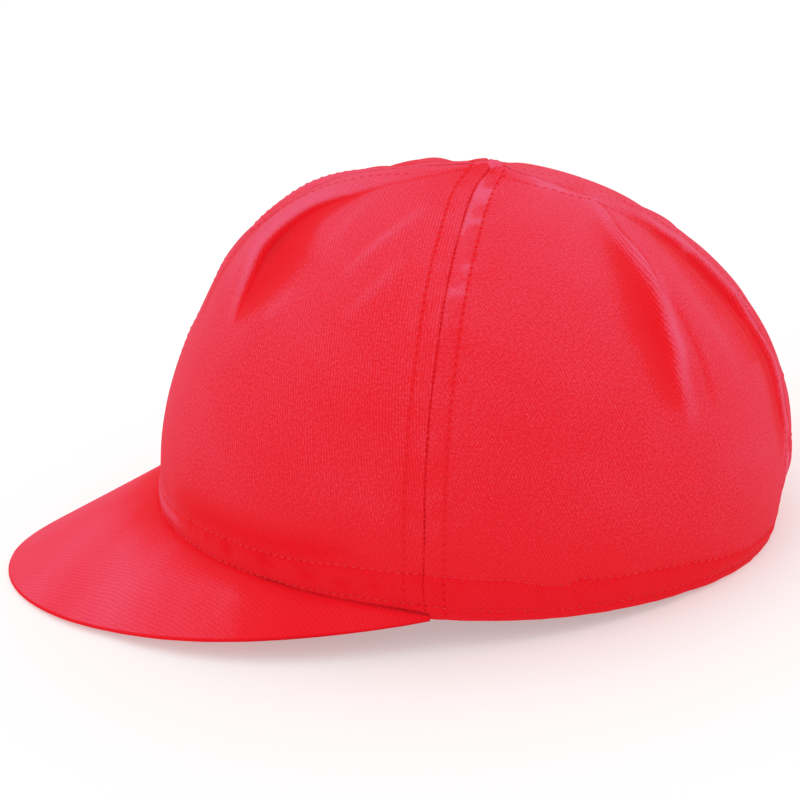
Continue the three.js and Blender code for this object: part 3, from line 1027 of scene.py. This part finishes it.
def seam_allowance(name, seam):
    """The two raw edges of a seam, pressed open on the inside of the crown."""
    level = np.linspace(float(level_at(HEM_HEIGHT + 1.5)), ALLOWANCE_TOP, ALLOWANCE_ROWS + 1)[:, None]
    middle = seam_degrees(seam, level)
    reach = lengths(smooth_crown(middle + 2, level) - smooth_crown(middle - 2, level)) / 4
    across = np.linspace(-1, 1, ALLOWANCE_COLUMNS + 1) * ALLOWANCE_WIDTH
    degrees = middle + np.clip(across / reach, -40, 40)
    level = np.broadcast_to(level, degrees.shape)
    smooth = smooth_crown(degrees, level)
    normal = crown_normal(degrees, level)
    up = arcs(smooth, 0)
    fray = FRAY * noise(across, up, FRAY_CELL, seam % 360) - PARTING * bell(across, PARTING_WIDTH)
    base = folded(smooth)[0] - PANEL_CLOTH - ALLOWANCE_SEAT
    outer = raised(smooth, normal, base)
    inner = raised(smooth, normal, base - ALLOWANCE_CLOTH - fray)
    place = np.stack((np.broadcast_to(across, degrees.shape), up), axis=-1)
    shell(name, outer, inner, place, ALLOWANCE_TWILL)


ALLOWANCE_TWILL = cloth_material("red_twill_allowance", 20)
for name, seam in ALLOWANCES.items():
    seam_allowance(name, seam)

# Apex, where the four panels' points are drawn together
APEX_RADIUS = 2.6
APEX_HEIGHT = 0.9
APEX_SLOPE = 0.075
APEX_SINK = 0.3
# Painted highlight over the tuck at the top of the crown
APEX_HIGHLIGHT = 0.9
# Gathers round the apex: depth, number, turn
APEX_GATHERS = ((0.16, 4, 45), (0.08, 7, 0))


def apex():
    """A small gathered tuck over the point where the seams meet."""
    turn = np.linspace(0, 360, 73)[None]
    out = np.linspace(0, 1, 13)[:, None]
    turn, out = np.broadcast_arrays(turn, out)
    lobes = 1
    for deep, count, shift in APEX_GATHERS:
        lobes = lobes + deep * np.cos(np.radians(count * turn + shift))
    radius = APEX_RADIUS * out * lobes
    top = smooth_crown(0, float(TOP_LEVEL))
    x, y = top[0] + radius * np.cos(np.radians(turn)), top[1] + radius * np.sin(np.radians(turn))
    base = top[2] - APEX_SLOPE * radius
    dome = APEX_HEIGHT * np.cos(out * np.pi / 2) ** 0.7 * (0.85 + 0.15 * lobes)
    upper = base + dome - APEX_SINK
    lower = np.minimum(upper - 0.6, base - PANEL_CLOTH)
    outer = np.stack((x, y, upper), axis=-1)[::-1]
    inner = np.stack((x, y, lower), axis=-1)[::-1]
    place = np.stack((x, y), axis=-1)[::-1]
    cloth = cloth_material("red_twill_apex", 10)
    # The whole tuck gets a painted highlight
    fade = np.full(x.shape, APEX_HIGHLIGHT)
    shell("apex_tuck", outer, inner, place, cloth, ring=True, fade=fade)


apex()

# Hem band
HEM_BAND_COLUMNS = 720
HEM_BAND_ROWS = 12
HEM_BAND_RIPPLE = 0.25
HEM_BAND_CELL = 5
HEM_BAND_SEED = 71


def hem_band():
    """The cloth turned up inside the crown, one ring behind all four panels."""
    top = float(level_at(HEM_HEIGHT))
    degrees = np.linspace(0, 360, HEM_BAND_COLUMNS + 1)[None]
    level = np.linspace(0, top, HEM_BAND_ROWS + 1)[:, None]
    degrees, level = np.broadcast_arrays(degrees, level)
    smooth = smooth_crown(degrees, level)
    normal = crown_normal(degrees, level)
    around = arcs(smooth, 1)
    uneven = noise(around, smooth[..., 2], HEM_BAND_CELL, HEM_BAND_SEED)
    ripple = HEM_BAND_RIPPLE * uneven * np.sin(np.pi * level / top)
    base = folded(smooth)[0] - PANEL_CLOTH - SEW_GAP
    outer = raised(smooth, normal, base)
    inner = raised(smooth, normal, base - HEM_CLOTH - ripple)
    inner[:, -1] = inner[:, 0]
    place = np.stack((around, smooth[..., 2]), axis=-1)
    cloth = cloth_material("red_twill_hem", 30)
    made = shell("hem_band_cloth", outer, inner, place, cloth, ring=True)
    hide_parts("hem_band")


hem_band()

# Peak
PEAK_COLUMNS = 280
PEAK_ROWS = 90
PEAK_EDGE_STEPS = 8
PEAK_SEED = 5


def peak_edge(degrees):
    """The peak's outer edge: -90 degrees at its right corner, 90 at its left one."""
    halves = zip(PEAK_HALVES["left"], PEAK_HALVES["right"])
    waist, flare, fall = (np.where(degrees < 0, right, left) for left, right in halves)
    reach = np.cos(np.radians(degrees))
    bend = reach**PEAK_SQUARE
    width = PEAK_SIDE * np.sqrt(1 - bend * bend) * (1 - waist * bend * bend)
    flare = flare * np.sin(np.pi * np.minimum(1, reach / PEAK_FLARE_END))
    return np.stack((
        np.sign(degrees) * (width + flare),
        PEAK_CORNER_Y + (PEAK_TIP_Y - PEAK_CORNER_Y) * reach,
        -PEAK_DROP * reach**fall + flare * PEAK_FLARE_RISE,
    ), axis=-1)


def clear_of_hem(points, gap):
    """Moves points that lie too near the hem, or under it, straight out until they are clear."""
    level = level_at(np.maximum(0, points[..., 2]))
    seam = section_value("seam", level)
    side = section_value("side", level) + gap
    front = seam - section_value("front", level) + gap
    share = np.minimum(1, np.hypot(points[..., 0] / side, (points[..., 1] - seam) / front))
    clear = points.copy()
    clear[..., 0] = points[..., 0] / share
    clear[..., 1] = seam + (points[..., 1] - seam) / share
    return clear


def peak_middle(across, out):
    """The middle of the peak's thickness: across runs along its edge, out from the hem to the edge."""
    edge = peak_edge(across)
    reach = np.maximum(0, np.cos(np.radians(across)))
    behind = edge * PEAK_ROOT_SHARE
    behind[..., 2] = PEAK_ROOT_HEIGHT + PEAK_ROOT_RISE * np.sin(np.pi * np.sqrt(reach))
    root = clear_of_hem(behind, PEAK_SEAT)
    low, high = PEAK_ARCH_FADE
    arch = PEAK_ARCH * smooth_step((across - low) / (high - low))
    swell = np.minimum(arch, lengths(edge - root) * PEAK_ARCH_SHARE)
    point = root + (edge - root) * out[..., None]
    point[..., 2] += swell * np.sin(np.pi * out)
    return point


def peak():
    """Two layers of cloth over a stiff core, with a rounded edge."""
    turn, step = 0.1, 0.01
    across = np.linspace(PEAK_END, -PEAK_END, PEAK_COLUMNS + 1)[None]
    face_out = 1 - (1 - np.linspace(0, 1, PEAK_ROWS + 1)) ** 1.3
    half_turn = np.linspace(90, -90, PEAK_EDGE_STEPS + 1)[1:-1]
    out = np.concatenate((face_out, np.ones(len(half_turn)), face_out[::-1]))[:, None]
    angle = np.concatenate((np.full(PEAK_ROWS + 1, 90), half_turn, np.full(PEAK_ROWS + 1, -90)))[:, None]
    across, out, angle = np.broadcast_arrays(across, out, angle)
    edge_length = lengths(peak_edge(across) - peak_middle(across, np.zeros_like(out)))
    half = PEAK_CLOTH / 2
    out = out * np.maximum(0, 1 - half / np.maximum(edge_length, half))
    along = peak_middle(across + turn, out) - peak_middle(across - turn, out)
    outward = peak_middle(across, out + step) - peak_middle(across, out - step)
    up = unit(np.cross(outward, along))
    outward = unit(outward)
    spin = np.radians(angle)[..., None]
    middle = peak_middle(across, out)
    cloth = waves(middle[..., 0], middle[..., 1], PEAK_SEED, PEAK_WAVES)
    around = arcs(peak_edge(across), 1)
    ribs = PEAK_RIB_DEPTH * np.cos(2 * np.pi * around / PEAK_RIB_PITCH) * np.cos(spin[..., 0]) ** 2
    points = middle + half * (np.cos(spin) * outward + np.sin(spin) * up)
    points = points + (cloth * np.sin(np.pi * np.clip(out, 0, 1)) + ribs)[..., None] * up
    points = clear_of_hem(points, PEAK_SEAT)
    place = np.stack((points[..., 0], points[..., 1] + 3 * np.sin(spin[..., 0])), axis=-1)
    # Painted light and shade: a highlight away from the crown and on high cloth, painted shade in low
    # waves, at the corners, along the rounded rim and at the root
    corner = smooth_step((np.abs(across) - 40) / 48)
    rim_share = np.sin(np.pi * np.clip((90 - angle) / 180, 0, 1)) ** 0.7
    root = bell(out * edge_length, 1.5)
    pale = PEAK_LIGHT_BASE + PEAK_HIGHLIGHT_OUT * smooth_step(out / 0.45) + PEAK_WAVE_HIGHLIGHT * cloth
    fade = pale - PEAK_CORNER_SHADE * corner - PEAK_RIM_SHADE * rim_share - PEAK_ROOT_SHADE * root
    ids = numbered(points, 0, False)
    faces = [quads(ids, flip=True)]
    places = [quads(place, flip=True)]
    for target, grid in ((faces, ids), (places, place)):
        target.append(np.stack((grid[-1, :-1], grid[-1, 1:], grid[0, 1:], grid[0, :-1]), axis=1)[:, ::-1])
        target.append(grid[:, 0][None])
        target.append(grid[:, -1][None, ::-1])
    cloth = cloth_material("red_twill_peak", -38, 0.45, 0.55)
    points, values = rest(points.reshape(-1, 3)), {"fade": fade.ravel()}
    made = add_mesh("peak_cloth_cover", points, faces, places, cloth, values)
    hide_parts("peak")


peak()

# Stitches
THREAD_SIDES = 6
THREAD_RINGS = 6
THREAD_ARCH = 0.28
THREAD_SINK = 0.24
SEAM_ROW_TOP = 8.3
SEAM_ROW_FOOT = 17


def stitches(name, rows, thread):
    """Joined stitches along rows of (points, outward directions), arched over the cloth."""
    points, faces, places = [], [], []
    count = 0
    for line, normals in rows:
        run = arcs(line, 0)
        starts = np.arange(STITCH_PITCH / 2, run[-1] - STITCH_LENGTH, STITCH_PITCH)
        share = np.linspace(0, 1, THREAD_RINGS)
        at = starts[:, None] + share[None] * STITCH_LENGTH
        centre = np.stack([np.interp(at, run, line[:, axis]) for axis in range(3)], axis=-1)
        normal = unit(np.stack([np.interp(at, run, normals[:, axis]) for axis in range(3)], axis=-1))
        way = unit(centre[:, -1:] - centre[:, :1])
        side = unit(np.cross(way, normal))
        arch = np.sin(np.pi * share)[None, :, None]
        centre = centre + normal * (THREAD_ARCH * arch - THREAD_SINK)
        spin = np.linspace(0, 2 * np.pi, THREAD_SIDES, endpoint=False)
        ring = np.cos(spin)[:, None] * normal[:, :, None] + np.sin(spin)[:, None] * side[:, :, None]
        radius = THREAD_RADIUS * (0.45 + 0.55 * arch[..., None])
        tube = centre[:, :, None] + ring * radius
        ids = count + np.arange(tube[..., 0].size).reshape(tube.shape[:3])
        wrapped = np.concatenate((ids, ids[:, :, :1]), axis=2)
        spot = np.stack(np.broadcast_arrays(at[:, :, None], np.append(spin, 2 * np.pi)), axis=-1)
        for stitch, where in zip(wrapped, spot):
            faces.append(quads(stitch))
            places.append(quads(where))
        for end, flip in ((0, 1), (-1, -1)):
            faces.append(ids[:, end, ::flip])
            places.append(spot[:, end, :-1][:, ::flip])
        points.append(tube.reshape(-1, 3))
        count += tube[..., 0].size
    faces, places = (
        [np.concatenate([few for few in groups if few.shape[1] == sides]) for sides in (4, THREAD_SIDES)]
        for groups in (faces, places)
    )
    add_mesh(name, rest(np.concatenate(points)), faces, places, thread)


def seam_rows(panel, from_start):
    """The row of stitches beside one seam of a panel."""
    level = np.linspace(float(level_at(SEAM_ROW_FOOT)), SEAM_ROW_TOP, 160)
    degrees = []
    for rise in level:
        row = min(PANEL_ROWS, int(round(rise / TIP_LEVEL * PANEL_ROWS)))
        reach = min(SEAM_ROW, 0.45 * panel.width[row, 0])
        across = reach if from_start else panel.width[row, 0] - reach
        degrees.append(np.interp(across, panel.across[row], panel.degrees[row]))
    return panel.place(np.array(degrees), level)


def hem_row(panel, line):
    """The row of stitches along one of the hem's lines in a panel."""
    degrees = np.linspace(panel.start + 0.4, panel.end - 0.4, 180)
    return panel.place(degrees, level_at(line(degrees)))


SEAM_ROWS = [seam_rows(panel, from_start) for panel in PANELS for from_start in (True, False)]
stitches("seam_stitches", SEAM_ROWS, SEAM_THREAD)
stitches("hem_upper_stitches", [hem_row(panel, hem_line) for panel in PANELS], HEM_THREAD)
stitches("hem_lower_stitches", [hem_row(panel, lower_line) for panel in PANELS], HEM_THREAD)

# Studio
FLOOR_SIZE = 8


def floor():
    mesh = bpy.data.meshes.new("studio_floor")
    half = FLOOR_SIZE / 2
    corners = [(-half, -half, 0), (half, -half, 0), (half, half, 0), (-half, half, 0)]
    mesh.from_pydata(corners, [], [(0, 1, 2, 3)])
    mesh.materials.append(floor_material())
    made = bpy.data.objects.new("studio_floor", mesh)
    bpy.context.scene.collection.objects.link(made)


def soft_light(name, place, aim, size, power):
    light = bpy.data.lights.new(name, "AREA")
    light.shape = "RECTANGLE"
    light.size, light.size_y = size
    light.energy = power
    made = bpy.data.objects.new(name, light)
    made.location = place
    made.rotation_euler = (Vector(aim) - Vector(place)).to_track_quat("-Z", "Y").to_euler()
    bpy.context.scene.collection.objects.link(made)


def world():
    made = bpy.data.worlds.new("studio_air")
    made.use_nodes = True
    made.node_tree.nodes["Background"].inputs["Color"].default_value = (1, 1, 1, 1)
    made.node_tree.nodes["Background"].inputs["Strength"].default_value = 1.0
    bpy.context.scene.world = made


floor()
world()
soft_light("overhead_softbox", (0.1, -0.2, 1.6), (0, 0, 0), (1.8, 1.8), 3)
bpy.context.scene.view_settings.view_transform = "Standard"

# Camera: the photograph's view of the cap, written for a level hem and tipped back with it
VIEW_AZIMUTH = 98.8
VIEW_ELEVATION = 23.6
VIEW_DISTANCE = 1200
VIEW_TARGET = (2.3, -20.7, 37.6)
SENSOR_WIDTH = 36
PHOTO_WIDTH_PX = 800
FOCAL_PX = 3673.6


def camera():
    turn, lift = math.radians(VIEW_AZIMUTH), math.radians(VIEW_ELEVATION)
    back = Vector((math.sin(turn) * math.cos(lift), -math.cos(turn) * math.cos(lift), math.sin(lift)))
    right = Vector((math.cos(turn), math.sin(turn), 0))
    axes = Matrix((right, back.cross(right), back)).transposed()
    place = Vector(VIEW_TARGET) + back * VIEW_DISTANCE
    data = bpy.data.cameras.new("photo_camera")
    data.sensor_width = SENSOR_WIDTH
    data.lens = SENSOR_WIDTH * FOCAL_PX / PHOTO_WIDTH_PX
    made = bpy.data.objects.new("photo_camera", data)
    tip = Matrix.Rotation(-REST_PITCH, 3, "X")
    spot = (tip @ place + Vector(REST_SHIFT)) * MM
    made.matrix_world = Matrix.Translation(spot) @ (tip @ axes).to_4x4()
    bpy.context.scene.collection.objects.link(made)
    bpy.context.scene.camera = made


camera()
